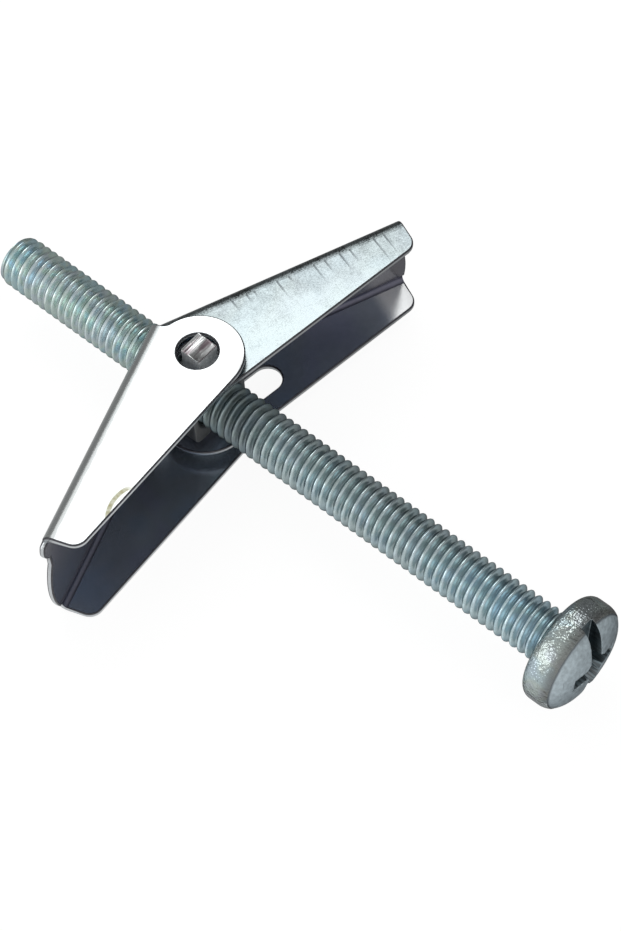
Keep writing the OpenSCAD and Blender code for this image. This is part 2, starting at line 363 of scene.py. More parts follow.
def line_at(tree, value, place, near, far):
    """A soft line where a value passes a place: full within one distance of it, and gone past another."""
    return fall(tree, calc(tree, "ABSOLUTE", less(tree, value, place)), near, far)


def from_axis(tree, first, second):
    """The distance from an axis, out of the two coordinates across it."""
    return calc(tree, "SQRT", scaled(tree, first, first, times(tree, second, second)))


def split(tree, vector):
    """The three parts of a vector."""
    return add(tree, "ShaderNodeSeparateXYZ", [vector]).outputs


def join(tree, x, y, z):
    """A vector out of its three parts."""
    return add(tree, "ShaderNodeCombineXYZ", [x, y, z]).outputs[0]


def rgba(value):
    """A colour with its alpha, or the socket that it was."""
    return value if isinstance(value, bpy.types.NodeSocket) else (*value[:3], 1)


def blend(tree, amount, first, second, blend_type="MIX"):
    """A colour mixed from two."""
    node = add(tree, "ShaderNodeMix", data_type="RGBA", blend_type=blend_type)
    feed(tree, node.inputs["Factor"], amount)
    feed(tree, node.inputs["A"], rgba(first))
    feed(tree, node.inputs["B"], rgba(second))
    return node.outputs["Result"]


def paint(tree, base, mask, share, tint):
    """A colour with a share of a tint over it, where a mask says so."""
    return blend(tree, times(tree, mask, share), base, tint)


def shaded(tree, base, shade):
    """A colour times a shade round 1."""
    return blend(tree, 1.0, base, add(tree, "ShaderNodeCombineColor", [shade] * 3).outputs[0], "MULTIPLY")


def noise(tree, vector, scale, detail=2.0, roughness=0.5, distortion=0.0):
    """The value of a noise texture."""
    node = add(tree, "ShaderNodeTexNoise", {
        "Vector": vector, "Scale": scale, "Detail": detail,
        "Roughness": roughness, "Distortion": distortion})
    return node.outputs["Fac"]


def in_mm(tree, shift=(0, 0, 0), turn=0.0):
    """Object coordinates in millimetres, moved by a shift and then turned about Z."""
    node = add(tree, "ShaderNodeMapping", {
        "Vector": add(tree, "ShaderNodeTexCoord").outputs["Object"],
        "Location": Matrix.Rotation(turn, 4, "Z") @ Vector(shift),
        "Rotation": (0, 0, turn), "Scale": (1 / MM, 1 / MM, 1 / MM)}, vector_type="POINT")
    return node.outputs["Vector"]


def bump(tree, shader, height, strength, deep):
    """Feeds a height to the shader as bump, which is so many millimetres deep."""
    node = add(tree, "ShaderNodeBump", {"Strength": strength, "Distance": deep * MM, "Height": height})
    feed(tree, shader.inputs["Normal"], node.outputs["Normal"])


def coat(tree, shader, base, roughness=None):
    """Feeds the shader its colour and, where it varies, its roughness."""
    feed(tree, shader.inputs["Base Color"], base)
    if roughness is not None:
        feed(tree, shader.inputs["Roughness"], roughness)


def seen_by(tree, *kinds):
    """1 for some kinds of ray, and 0 for all others."""
    rays = add(tree, "ShaderNodeLightPath").outputs
    seen = rays[f"Is {kinds[0]} Ray"]
    for kind in kinds[1:]:
        seen = calc(tree, "MAXIMUM", seen, rays[f"Is {kind} Ray"])
    return seen


def white_glow(tree, strength):
    """White light that a surface gives off."""
    return add(tree, "ShaderNodeEmission", {"Color": (1, 1, 1, 1), "Strength": strength}).outputs[0]


def new_material(name, **values):
    """A metal material whose shader has some constant values. Returns it, its tree and the shader."""
    material = bpy.data.materials.new(name)
    material.use_nodes = True
    tree = material.node_tree
    shader = tree.nodes["Principled BSDF"]
    for label, value in {"Metallic": 1.0, **values}.items():
        shader.inputs[label.replace("_", " ")].default_value = value
    return material, tree, shader


def stage_material(name):
    """A material with no nodes in it yet. Returns it and its tree."""
    material = bpy.data.materials.new(name)
    material.use_nodes = True
    material.node_tree.nodes.clear()
    return material, material.node_tree


# ---------- effects that several materials share ----------

FLOAT, COLOUR, VECTOR = "NodeSocketFloat", "NodeSocketColor", "NodeSocketVector"


def new_group(name, inputs, outputs):
    """An empty shader group with named inputs and outputs, each (name, kind, default)."""
    group = bpy.data.node_groups.new(name, "ShaderNodeTree")
    for label, kind, default in inputs:
        socket = group.interface.new_socket(name=label, in_out="INPUT", socket_type=kind)
        if default is not None:
            socket.default_value = default
    for label, kind in outputs:
        group.interface.new_socket(name=label, in_out="OUTPUT", socket_type=kind)
    return group, group.nodes.new("NodeGroupInput").outputs, group.nodes.new("NodeGroupOutput").inputs


def use_group(tree, group, inputs):
    """The outputs of a group that is placed in a material with its own values."""
    return add(tree, "ShaderNodeGroup", inputs, node_tree=group).outputs


def shared(make):
    """Makes a shader group once and hands the same one out after that."""
    made = []

    def get():
        if not made:
            made.append(make())
        return made[0]
    return get


@shared
def plating_grain():
    """Fine grain of zinc plate: a shade round 1, a height, and a mask of dark specks."""
    group, given, out = new_group("plating_grain", [
        ("Vector", VECTOR, None), ("Scale", FLOAT, 3.0), ("Depth", FLOAT, 0.2), ("Specks", FLOAT, 0.5),
    ], [("Shade", FLOAT), ("Height", FLOAT), ("Specks", FLOAT)])
    fine = noise(group, given["Vector"], given["Scale"], 3, 0.6)
    coarse = noise(group, given["Vector"], times(group, given["Scale"], 0.12))
    grain = scaled(group, fine, 0.65, times(group, coarse, 0.35))
    feed(group, out["Shade"], scaled(group, less(group, grain, 0.5), given["Depth"], 1.0))
    feed(group, out["Height"], grain)
    dots = noise(group, given["Vector"], times(group, given["Scale"], 0.45), 1, 0.5, 0.4)
    edge = scaled(group, given["Specks"], -0.16, 0.86)
    feed(group, out["Specks"], rise(group, dots, edge, calc(group, "ADD", edge, 0.05)))
    return group


def grained(tree, at, scale, depth, specks):
    """The grain's Shade, Height and Specks with a material's own values."""
    return use_group(tree, plating_grain(), {"Vector": at, "Scale": scale, "Depth": depth, "Specks": specks})


@shared
def blue_film():
    """The thin clear film over zinc, which tints it blue, green, straw and pink by patches."""
    group, given, out = new_group("blue_film", [
        ("Vector", VECTOR, None), ("Base", COLOUR, (0.4, 0.45, 0.5, 1)), ("Scale", FLOAT, 0.25),
        ("Amount", FLOAT, 0.5),
    ], [("Color", COLOUR)])
    patches = noise(group, given["Vector"], given["Scale"], 2, 0.55, 0.6)
    tints = add(group, "ShaderNodeValToRGB", [patches])
    band = tints.color_ramp
    band.interpolation = "EASE"
    stops = ((0.30, (0.78, 0.96, 1.10)), (0.42, (0.86, 1.06, 1.02)), (0.52, (1.05, 1.07, 0.85)),
             (0.62, (1.05, 1.00, 0.98)), (0.74, (0.84, 0.99, 1.10)))
    while len(band.elements) < len(stops):
        band.elements.new(0.5)
    for element, (position, tint) in zip(band.elements, stops):
        element.position = position
        element.color = (*tint, 1)
    tinted = blend(group, 1.0, given["Base"], tints.outputs["Color"], "MULTIPLY")
    feed(group, out["Color"], blend(group, given["Amount"], given["Base"], tinted))
    return group


def filmed(tree, at, base, scale, amount):
    """A colour under the clear film."""
    return use_group(tree, blue_film(), {
        "Vector": at, "Base": rgba(base), "Scale": scale, "Amount": amount})["Color"]


@shared
def drag_mark():
    """One straight scratch that a folding tool drags across a flange, as a mask."""
    group, given, out = new_group("drag_mark", [
        ("Along", FLOAT, 0.0), ("Across", FLOAT, 0.0), ("Place", FLOAT, 0.0), ("Start", FLOAT, 0.0),
        ("Length", FLOAT, 2.0), ("Width", FLOAT, 0.1),
    ], [("Mask", FLOAT)])
    run = less(group, given["Start"], given["Across"])
    leaning = scaled(group, run, 0.1, given["Place"])
    line = line_at(group, given["Along"], leaning, times(group, given["Width"], 0.3), given["Width"])
    fade = less(group, 1.0, calc(group, "DIVIDE", run, given["Length"]), clamp=True)
    feed(group, out["Mask"], times(group, line, fade, rise(group, run, -0.05, 0.12)))
    return group


@shared
def scratches():
    """Sparse hair scratches in one direction, as a mask."""
    group, given, out = new_group("scratches", [
        ("Vector", VECTOR, None), ("Turn", FLOAT, 0.0), ("Amount", FLOAT, 0.5), ("Stretch", FLOAT, 14.0),
    ], [("Mask", FLOAT)])
    x, y, z = split(group, add(group, "ShaderNodeVectorRotate", {
        "Vector": given["Vector"], "Angle": given["Turn"]}, rotation_type="Z_AXIS").outputs[0])
    drawn = join(group, times(group, x, 0.25), times(group, y, given["Stretch"]), z)
    edge = scaled(group, given["Amount"], -0.14, 0.84)
    feed(group, out["Mask"], rise(group, noise(group, drawn, 0.6, 1), edge, calc(group, "ADD", edge, 0.06)))
    return group


def scratched(tree, at, turn, amount):
    """Hair scratches in a material's own direction, as a mask."""
    return use_group(tree, scratches(), {"Vector": at, "Turn": turn, "Amount": amount})["Mask"]


# ---------- materials ----------

# Reflection near grazing angles, which thin zinc plate dulls.
EDGE_TINT = (0.25, 0.24, 0.24, 1)

# What the masks paint over the plating.
HEAD_SPECK = (0.10, 0.11, 0.12)
SPECK = (0.16, 0.17, 0.18)
EDGE_SPECK = (0.12, 0.12, 0.13)
CROWN_SCRATCH = (0.14, 0.15, 0.17)
DRAG_MARK = (0.07, 0.08, 0.09)
# Painted shade on one side of the head and by its crease.
SHADE_BROWN = (0.13, 0.12, 0.115)
BROWN_WEB = (0.20, 0.165, 0.16)
DARK_LINE = (0.09, 0.085, 0.085)
# Painted shade round the crown's edge.
CREASE_SHADE = (0.07, 0.07, 0.075)
# Painted light on the lower side of the head.
PAINTED_LIGHT_ZINC = (0.80, 0.86, 0.88)
# Painted highlight inside the inner wing's end.
PAINTED_HIGHLIGHT = (0.95, 0.97, 0.98)
TORN_BAND = (0.26, 0.21, 0.23)


def thread_material(s):
    """Rolled thread: blue film, more patchy towards the tip and painted lighter there as light, and painted darker
    beside the nut as shade.
    """
    material, tree, shader = new_material("rolled_thread_zinc", Specular_Tint=EDGE_TINT)
    at = in_mm(tree)
    x, y, z = split(tree, at)
    to_tip = fall(tree, x, TIP_X + 12, PIVOT.x + 14)
    plain = blend(tree, rise(tree, x, SEAT_X - 21.05, SEAT_X - 4), s.thread_colour, s.near_head_colour)
    film = filmed(tree, at, plain, scale=0.35, amount=scaled(tree, to_tip, 0.35, 0.2))
    grain = grained(tree, at, scale=4.0, depth=0.35, specks=0.3)
    near_nut = times(tree, rise(tree, x, PIVOT.x - 9, PIVOT.x - 2), fall(tree, x, PIVOT.x + 6, PIVOT.x + 12))
    # Painted light and shade: lighter towards the tip, darker beside the nut.
    tone = less(tree, scaled(tree, to_tip, 0.32, 1.0), times(tree, near_nut, 0.5))
    # The crests are burnished in places, smoother and painted lighter as a highlight, and the flanks are duller.
    crest_r = mm(s.crest_r)
    places = scaled(tree, rise(tree, noise(tree, at, 0.9), 0.42, 0.62), 0.8, 0.2)
    on_crest = rise(tree, from_axis(tree, y, less(tree, z, PIVOT.z)), crest_r - 0.11, crest_r - 0.03)
    burnished_and_highlit = times(tree, places, on_crest)
    tone = times(tree, tone, scaled(tree, burnished_and_highlit, 0.4, 0.94))
    dull = scaled(tree, near_nut, 0.15, scaled(tree, burnished_and_highlit, -0.14, 0.21))
    coat(tree, shader, shaded(tree, film, times(tree, grain["Shade"], tone)),
         roughness=scaled(tree, grain["Height"], 0.18, dull))
    # The rolls left fine lines along the flanks.
    rolled = noise(tree, join(tree, x, times(tree, y, 0.15), times(tree, z, 0.15)), 3.4, 1)
    bump(tree, shader, scaled(tree, grain["Height"], 0.3, rolled), strength=1.0, deep=0.06)
    return material


def head_material(s):
    """Tumbled bright zinc: hammered dimples and dark specks."""
    material, tree, shader = new_material("tumbled_zinc", Specular_Tint=EDGE_TINT)
    at = in_mm(tree)
    x, y, z = split(tree, at)
    grain = grained(tree, at, scale=3.2, depth=0.7, specks=1.0)
    base = shaded(tree, filmed(tree, at, s.head_colour, scale=0.3, amount=0.35), grain["Shade"])
    base = paint(tree, base, grain["Specks"], 0.55, HEAD_SPECK)
    base = paint(tree, base, scratched(tree, at, turn=0.5, amount=0.45), 0.4, SPECK)
    # Painted shade: one side is a little browner and darker, in patches, and the upper half much more so by the
    # crease.
    shaded_side = scaled(tree, noise(tree, at, 0.5, roughness=0.6), 3.0, y)
    crease = mm(s.crease_x) + SEAT_X
    shade_by_crease = times(tree, rise(tree, x, crease - 1.4, crease), rise(tree, z, PIVOT.z - 1.5, PIVOT.z + 0.5))
    painted_shade = calc(tree, "MAXIMUM", times(tree, rise(tree, shaded_side, -0.2, 3.6), 0.15),
                   times(tree, shade_by_crease, 0.72))
    base = blend(tree, painted_shade, base, SHADE_BROWN)
    # Below a dark line, which crosses the rim just under the screw's axis, the lower side is painted paler as
    # light.
    line_z = PIVOT.z - 0.3
    wavy = scaled(tree, noise(tree, at, 1.2, roughness=0.6), 0.5, z)
    base = paint(tree, base, fall(tree, wavy, line_z - 0.1, line_z + 0.1), 0.6, PAINTED_LIGHT_ZINC)
    base = paint(tree, base, line_at(tree, wavy, line_z, 0.04, 0.14), 0.65, DARK_LINE)
    coat(tree, shader, base, roughness=scaled(tree, grain["Height"], 0.18, 0.06))
    dimples = scaled(tree, noise(tree, at, 0.9, 1), 1.4, noise(tree, at, 3.8, 1))
    bump(tree, shader, dimples, strength=1.0, deep=0.11)
    return material


def crown_material(s):
    """Smooth crown with a few hair scratches and a dark line of painted shade round its edge."""
    material, tree, shader = new_material("smooth_crown_zinc", Specular_Tint=EDGE_TINT)
    at = in_mm(tree)
    grain = grained(tree, at, scale=1.8, depth=1.6, specks=0.4)
    base = shaded(tree, s.crown_colour, grain["Shade"])
    base = paint(tree, base, scratched(tree, at, turn=0.9, amount=0.8), 0.7, CROWN_SCRATCH)
    _, y, z = split(tree, in_mm(tree, shift=-PIVOT))
    crease_r = mm(s.crease_r)
    uneven = scaled(tree, grain["Height"], 0.3, from_axis(tree, y, z))
    # The dark line round the crown's edge is painted shade at the crease.
    base = paint(tree, base, rise(tree, uneven, crease_r - 0.14, crease_r + 0.04), 0.75, CREASE_SHADE)
    coat(tree, shader, base, roughness=scaled(tree, grain["Height"], 0.15, 0.28))
    bump(tree, shader, grain["Height"], strength=0.8, deep=0.06)
    return material


def recess_material(s):
    """Walls of the slot and cross, reeded by the punch, with thin dark plating and painted shade."""
    material, tree, shader = new_material("punched_recess_zinc", Roughness=0.3)
    at = in_mm(tree)
    x, y, z = split(tree, at)
    ribs = less(tree, noise(tree, join(tree, times(tree, x, 0.15), y, z), 3.0, 1, 0.4), 0.5)
    low_side = fall(tree, z, PIVOT.z - 1, PIVOT.z + 2.5)
    reeds = scaled(tree, ribs, scaled(tree, low_side, 0.7, 0.3), 0.5)
    grain = grained(tree, at, scale=3.0, depth=0.5, specks=0.4)
    # Both reed colours are the head's own colours darkened a lot: thin plating and painted shade in the recess.
    dark, light = [c * 0.25 for c in s.crown_colour], [c * 0.4 for c in s.near_head_colour]
    base = blend(tree, rise(tree, reeds, 0.42, 0.62), dark, light)
    coat(tree, shader, shaded(tree, base, grain["Shade"]))
    bump(tree, shader, reeds, strength=0.8, deep=0.12)
    return material


def wing_space(tree, wing):
    """Coordinates in a wing's own frame: X along the web, Y across it, in millimetres."""
    return in_mm(tree, shift=-PIVOT, turn=-math.atan2(wing.along.y, wing.along.x))


def flange_material(s, wing):
    """Outside of a wing: grained zinc plate with specks, marks and stains, and painted shade by the fold and, on
    the inner wing, across the flange.
    """
    material, tree, shader = new_material(wing.name + "_zinc")
    at = wing_space(tree, wing)
    parts = split(tree, at)
    grain = grained(tree, at, scale=6.0, depth=wing.grain, specks=wing.specks)
    # The fold is painted darker as shade, with a line where the folding tool pressed.
    across = calc(tree, "ABSOLUTE", parts[1])
    uneven = scaled(tree, noise(tree, at, 0.8), 0.3, across)
    fold_shade = times(tree, rise(tree, uneven, wing.pressed_y, wing.pressed_y + 0.25),
                 fall(tree, across, wing.web_off - 0.3, wing.web_off))
    pressed = line_at(tree, uneven, wing.pressed_y, 0.03, 0.1)
    # The inner wing's flange is painted darker towards its fold, as shade.
    shade = less(tree, grain["Shade"], scaled(tree, fold_shade, 0.42, wing.dimming(tree, parts)))
    shade = less(tree, shade, times(tree, pressed, 0.22), clamp=True)
    base = shaded(tree, filmed(tree, at, wing.colour, scale=0.12, amount=0.08), shade)
    base = paint(tree, base, grain["Specks"], 0.35, SPECK)
    # Outside, both wings' webs are as bright as each other, without the inner wing's painted shade.
    on_web = rise(tree, across, wing.web_off - 0.12, wing.web_off - 0.04)
    base = paint(tree, base, on_web, 0.8, s.outer_colour)
    marks = wing.marks(tree, parts)
    base = paint(tree, base, marks, 0.8, DRAG_MARK)
    base = blend(tree, wing.stain(tree, at, parts), base, s.stain_colour)
    coat(tree, shader, base, roughness=scaled(tree, grain["Height"], 0.14, 0.2))
    bump(tree, shader, scaled(tree, marks, -2.0, grain["Height"]), strength=0.25, deep=0.03)
    return material


def inside_material(s, wing):
    """Inside of a channel, where plating is thin: dark blue, partly from the thin plating and partly as painted
    shade, smooth, and browner on the web.
    """
    material, tree, shader = new_material(wing.name + "_inside_zinc", Metallic=0.85)
    at = wing_space(tree, wing)
    x, y, _ = split(tree, at)
    grain = grained(tree, at, scale=2.5, depth=0.3, specks=0.15)
    base = shaded(tree, filmed(tree, at, s.inside_colour, scale=0.08, amount=0.4), grain["Shade"])
    base = paint(tree, base, scratched(tree, at, turn=-1.2, amount=0.35), 0.15, s.edge_colour)
    web_face = wing.web_off - mm(s.sheet)
    on_web = rise(tree, calc(tree, "ABSOLUTE", y), web_face - 0.1, web_face - 0.02)
    base = paint(tree, base, on_web, 0.7, BROWN_WEB)
    # A painted highlight lies on the flanges towards the inner wing's end.
    base = paint(tree, base, wing.highlight_end(tree, x), less(tree, 1.0, on_web), PAINTED_HIGHLIGHT)
    coat(tree, shader, base, roughness=scaled(tree, grain["Height"], 0.14, 0.17))
    # The flanges' ends droop a little where they were sheared off.
    past = calc(tree, "MAXIMUM", less(tree, x, wing.droop_from), 0.0)
    bump(tree, shader, scaled(tree, grain["Height"], 0.003, times(tree, past, past, -wing.droop)),
         strength=1.0, deep=1.0)
    return material


def plain_material(name, tint, roughness, grain, bumps=None, specks=0.0, shift=(0, 0, 0)):
    """A metal with no more than grain, whose scale, depth and specks are given, and its bumps."""
    material, tree, shader = new_material(name, Roughness=roughness)
    grain = grained(tree, in_mm(tree, shift=shift), *grain)
    base = shaded(tree, tint, grain["Shade"])
    if specks:
        base = paint(tree, base, grain["Specks"], specks, EDGE_SPECK)
    coat(tree, shader, base)
    if bumps:
        bump(tree, shader, grain["Height"], *bumps)
    return material


def fold_material(s):
    """Inner corners of the folds and walls of the lower ear's hole, rough and painted dark as shade."""
    return plain_material("inside_fold_zinc", s.fold_colour, 0.42, (3.0, 0.6, 0.5), bumps=(0.3, 0.03))


def rim_material(s):
    """Corners between the sheet's faces and its sheared edges, painted dark as a shaded outline."""
    return plain_material("shaded_rim_zinc", s.rim_colour, 0.35, (2.0, 1.2, 0.2))


def edge_material(s):
    """Sheared edges, rough and speckled."""
    return plain_material("sheared_edge_zinc", s.edge_colour, 0.35, (4.0, 0.5, 0.5),
                          bumps=(0.5, 0.04), specks=0.4)


def wire_material(s):
    """Bright drawn wire."""
    return plain_material("drawn_wire", s.colour, 0.25, (4.5, 0.45, 0.5), bumps=(0.3, 0.02), shift=-PIVOT)


def nut_material(s):
    """Dull zinc on the nut's block, with drawn lines along the pivot, painted darker as shade on all but its top.
    """
    material, tree, shader = new_material("nut_zinc", Roughness=0.45, Metallic=0.7)
    at = in_mm(tree, shift=-PIVOT)
    x, y, z = split(tree, at)
    lines = noise(tree, join(tree, x, y, times(tree, z, 0.1)), 3.5, 2, 0.6)
    grain = grained(tree, at, scale=3.5, depth=0.5, specks=0.6)
    # All but the top of the block is painted darker, as shade between the wings.
    shade_below_top = scaled(tree, rise(tree, z, 2.4, 3.7), 0.8, 0.2)
    shade = times(tree, grain["Shade"], shade_below_top, scaled(tree, lines, 0.5, 0.75))
    coat(tree, shader, shaded(tree, s.colour, shade))
    bump(tree, shader, lines, strength=0.4, deep=0.05)
    return material


def sheared_material(s):
    """The tab's sheared end: bands across it from the cut."""
    material, tree, shader = new_material("sheared_tab_zinc", Roughness=0.26)
    at = in_mm(tree, shift=-PIVOT)
    x, y, _ = split(tree, at)
    bands = noise(tree, join(tree, x, times(tree, y, 0.08), 0.0), 1.9)
    grain = grained(tree, at, scale=4.0, depth=0.4, specks=0.4)
    base = blend(tree, rise(tree, bands, 0.38, 0.56), TORN_BAND, s.sheared_colour)
    coat(tree, shader, shaded(tree, base, grain["Shade"]))
    bump(tree, shader, bands, strength=0.7, deep=0.15)
    return material


# ---------- screw ----------

class SHANK_OT_make(bpy.types.Operator):
    """Rolls the threaded shank, from the tip to under the head"""

    bl_idname = "toggle_bolt.shank"
    bl_label = "Threaded Shank"

    turn_steps = 64
    pitch_steps = 10
    # The shank runs this far into the head, and its first crest lies this many turns before the tip.
    sunk = 0.3
    lead = 1.43
    # The flanks swell by this share, and the thread loses this share of its depth at the tip.
    swell = 0.16
    worn = 0.6
    # The tip's end face steps in, and then down, twice.
    hollows = ((0.35, 0.05), (0.9, 0.25))

    def execute(self, context):
        s = context.scene.toggle_screw
        pitch, half_deep = mm(s.pitch), mm(s.thread_deep) / 2
        first, last = TIP_X - self.lead * pitch, SEAT_X + self.sunk
        turns = math.ceil((last - first) / pitch) + 1
        middle = mm(s.crest_r) - half_deep
        points = []
        for i in range(turns * self.pitch_steps + 1):
            wave = math.cos(math.tau * i / self.pitch_steps)
            swollen = wave + self.swell * (1 - wave * wave)
            points.append((first + i * pitch / self.pitch_steps, 0, middle + swollen * half_deep))
        bm = bmesh.new()
        bmesh.ops.spin(bm, geom=polyline(bm, points), cent=(0, 0, 0), axis=(1, 0, 0),
                       dvec=(pitch / self.turn_steps, 0, 0), angle=math.tau, steps=self.turn_steps)
        bmesh.ops.remove_doubles(bm, verts=bm.verts, dist=1e-3)
        for cut, out in ((TIP_X, (-1, 0, 0)), (last, (1, 0, 0))):
            bmesh.ops.bisect_plane(bm, geom=bm.verts[:] + bm.edges[:] + bm.faces[:], dist=1e-5,
                                   plane_co=(cut, 0, 0), plane_no=out, clear_outer=True)
        self.run_out(bm, mm(s.tip_r), mm(s.crest_r), mm(s.tip_taper))
        self.close_ends(bm)
        bmesh.ops.recalc_face_normals(bm, faces=bm.faces)
        move(bm, 0, 0, PIVOT.z)
        piece = link_piece(bm, "threaded_shank", [thread_material(s)], math.radians(60))
        place(piece, "screw", "screw_zinc", "machine_screw")
        return {"FINISHED"}

    def run_out(self, bm, tip_r, crest_r, taper):
        """Draws the thread in to the tip's rim."""
        for v in bm.verts:
            share = (v.co.x - TIP_X) / taper
            if share < 1:
                most = tip_r + (crest_r - tip_r) * math.sin(max(share, 0) * math.pi / 2)
                radius = math.hypot(v.co.y, v.co.z)
                shallow = radius + (most - radius) * self.worn * (1 - share)
                v.co.yz = v.co.yz * (min(most, shallow) / radius)

    def close_ends(self, bm):
        """Closes both ends, the tip's with a shallow hollow."""
        open_edges = [e for e in bm.edges if e.is_boundary]
        made = bmesh.ops.edgeloop_fill(bm, edges=open_edges)["faces"]
        tip = min(made, key=lambda f: f.calc_center_median().x)
        for inset, hollow in self.hollows:
            bmesh.ops.inset_region(bm, faces=[tip], thickness=inset, use_even_offset=True)
            for v in tip.verts:
                v.co.x += hollow


class HEAD_OT_make(bpy.types.Operator):
    """Forges the screw's head and punches its slot and cross"""

    bl_idname = "toggle_bolt.head"
    bl_label = "Screw Head"

    BODY, CROWN, RECESS = range(3)
    around = 144
    # The crown's bow starts just up and in from the crease. It is pulled towards a point that lies in line
    # with the ball's rim and this far outside it.
    crease_step = (0.05, -0.07)
    bow_out = 0.9
    # Each cutter rises this far over the crown. The slot's goes past the rim on both sides.
    over = 2.0
    slot_long = 2.4 * HEAD_R
    slot_round = 0.12
    # The cross: the length and rounding of its arms' floors, the radii of its hollow middle, and how much
    # narrower the arm along the slot is, so that its walls stand clear of the slot's.
    arm_foot, arm_round = 1.2, 0.15
    hollow_r = (0.9, 1.75)
    arm_play = 0.1
    rim_round = 0.12

    def execute(self, context):
        s = context.scene.toggle_screw
        materials = [head_material(s), crown_material(s), recess_material(s)]
        piece = link_piece(self.blank(s), "screw_head", materials)
        for cutter in self.cutters(s):
            self.punch(piece, cutter)
        self.round_rim(piece)
        place(piece, "screw", "screw_zinc", "machine_screw")
        return {"FINISHED"}

    def blank(self, s):
        """The head before punching."""
        height, crown_r, ball = mm(s.head_h), mm(s.crown_r), mm(s.crown_ball_r)
        under, shoulder = mm(s.under_edge_r), mm(s.shoulder_r)
        crease_x, crease_r = mm(s.crease_x), mm(s.crease_r)
        crown_x = height - ball + math.sqrt(ball ** 2 - crown_r ** 2)
        tilt = math.acos((crease_r - HEAD_R + shoulder) / shoulder)
        top = math.asin(crown_r / ball)
        bow_from = (crease_x + self.crease_step[0], crease_r + self.crease_step[1])
        pull = (crown_x - self.bow_out * math.tan(top), crown_r + self.bow_out)
        points = [(0, 0), (0, HEAD_R - under)]
        points += arc((under, HEAD_R - under), under, math.pi, math.pi / 2, 8)[1:]
        points += arc((crease_x - shoulder * math.sin(tilt), HEAD_R - shoulder), shoulder,
                      math.pi / 2, math.pi / 2 - tilt, 10)
        points += bow(bow_from, pull, (crown_x, crown_r), 8)
        points += arc((height - ball, 0), ball, top, 0, 8)[1:]
        points[-1] = (height, 0)        # on the axis exactly
        bm = revolve(points, self.around)
        for face in bm.faces:
            out = face.calc_center_median()
            inside = out.x > crease_x and out.yz.length < crease_r - 0.05
            face.material_index = self.CROWN if inside else self.BODY
        move(bm, SEAT_X, 0, PIVOT.z)
        return bm

    def cutters(self, s):
        """The slot, the two arms of the cross and its hollow middle, as separate solids."""
        slot, arm, cross_deep = mm(s.slot_w), mm(s.cross_w), mm(s.cross_deep)
        made = [self.block(self.slot_long, slot, mm(s.slot_deep), self.slot_long, self.slot_round)]
        for turn, wide in ((0, min(arm, slot) - self.arm_play), (math.pi / 2, arm)):
            made.append(self.block(2 * mm(s.cross_reach), wide, cross_deep, self.arm_foot, self.arm_round))
            turn_about_x(made[-1], turn)
        cone = bmesh.new()
        upright = Matrix.Translation(((1 - cross_deep) / 2, 0, 0)) @ Matrix.Rotation(math.pi / 2, 4, "Y")
        bmesh.ops.create_cone(cone, cap_ends=True, segments=48, radius1=self.hollow_r[0],
                              radius2=self.hollow_r[1], depth=cross_deep + 1, matrix=upright)
        made.append(cone)
        for bm in made:
            turn_about_x(bm, s.drive_turn)
            move(bm, SEAT_X + mm(s.head_h), mm(s.drive_off), PIVOT.z)
        return made

    def block(self, long, wide, deep, foot, rounding):
        """A cutter along Z, narrowed to a foot at its floor, whose floor edges are rounded."""
        bm = bmesh.new()
        bmesh.ops.create_cube(bm, size=1)
        bmesh.ops.scale(bm, vec=(deep + self.over, wide, long), verts=bm.verts)
        move(bm, (self.over - deep) / 2, 0, 0)
        floor = [v for v in bm.verts if v.co.x < 0]
        slope = (long - foot) / 2 / deep
        for v in bm.verts:
            inward = foot / 2 if v in floor else long / 2 + slope * self.over
            v.co.z = math.copysign(inward, v.co.z)
        bevel(bm, [e for e in bm.edges if all(v in floor for v in e.verts)], rounding, segments=3)
        return bm

    def punch(self, piece, cutter_bm):
        """Cuts one solid out of the head."""
        bmesh.ops.recalc_face_normals(cutter_bm, faces=cutter_bm.faces)
        for face in cutter_bm.faces:
            face.material_index = self.RECESS
        cutter = link_piece(cutter_bm, "cutter", [])
        cut = piece.modifiers.new("cut", "BOOLEAN")
        cut.object = cutter
        cut.material_mode = "INDEX"
        cut.operation = "DIFFERENCE"
        cut.solver = "EXACT"
        mesh = applied_mesh(piece)
        piece.modifiers.clear()
        piece.data = mesh
        bpy.data.objects.remove(cutter)

    def round_rim(self, piece):
        """Rounds the edge between the recess and the head's own surface."""
        bm = bmesh.new()
        bm.from_mesh(piece.data)
        resize(bm, 1 / MM)
        bmesh.ops.remove_doubles(bm, verts=bm.verts, dist=1e-3)
        bmesh.ops.dissolve_degenerate(bm, dist=0.03, edges=bm.edges)
        rim = [e for e in sharp_edges(bm, math.radians(30))
               if sum(f.material_index == self.RECESS for f in e.link_faces) == 1]
        bevel(bm, rim, self.rim_round)
        resize(bm, MM)
        bm.to_mesh(piece.data)
        bm.free()
        piece.data.shade_smooth()
        piece.data.set_sharp_from_angle(angle=math.radians(38))


# ---------- nut ----------

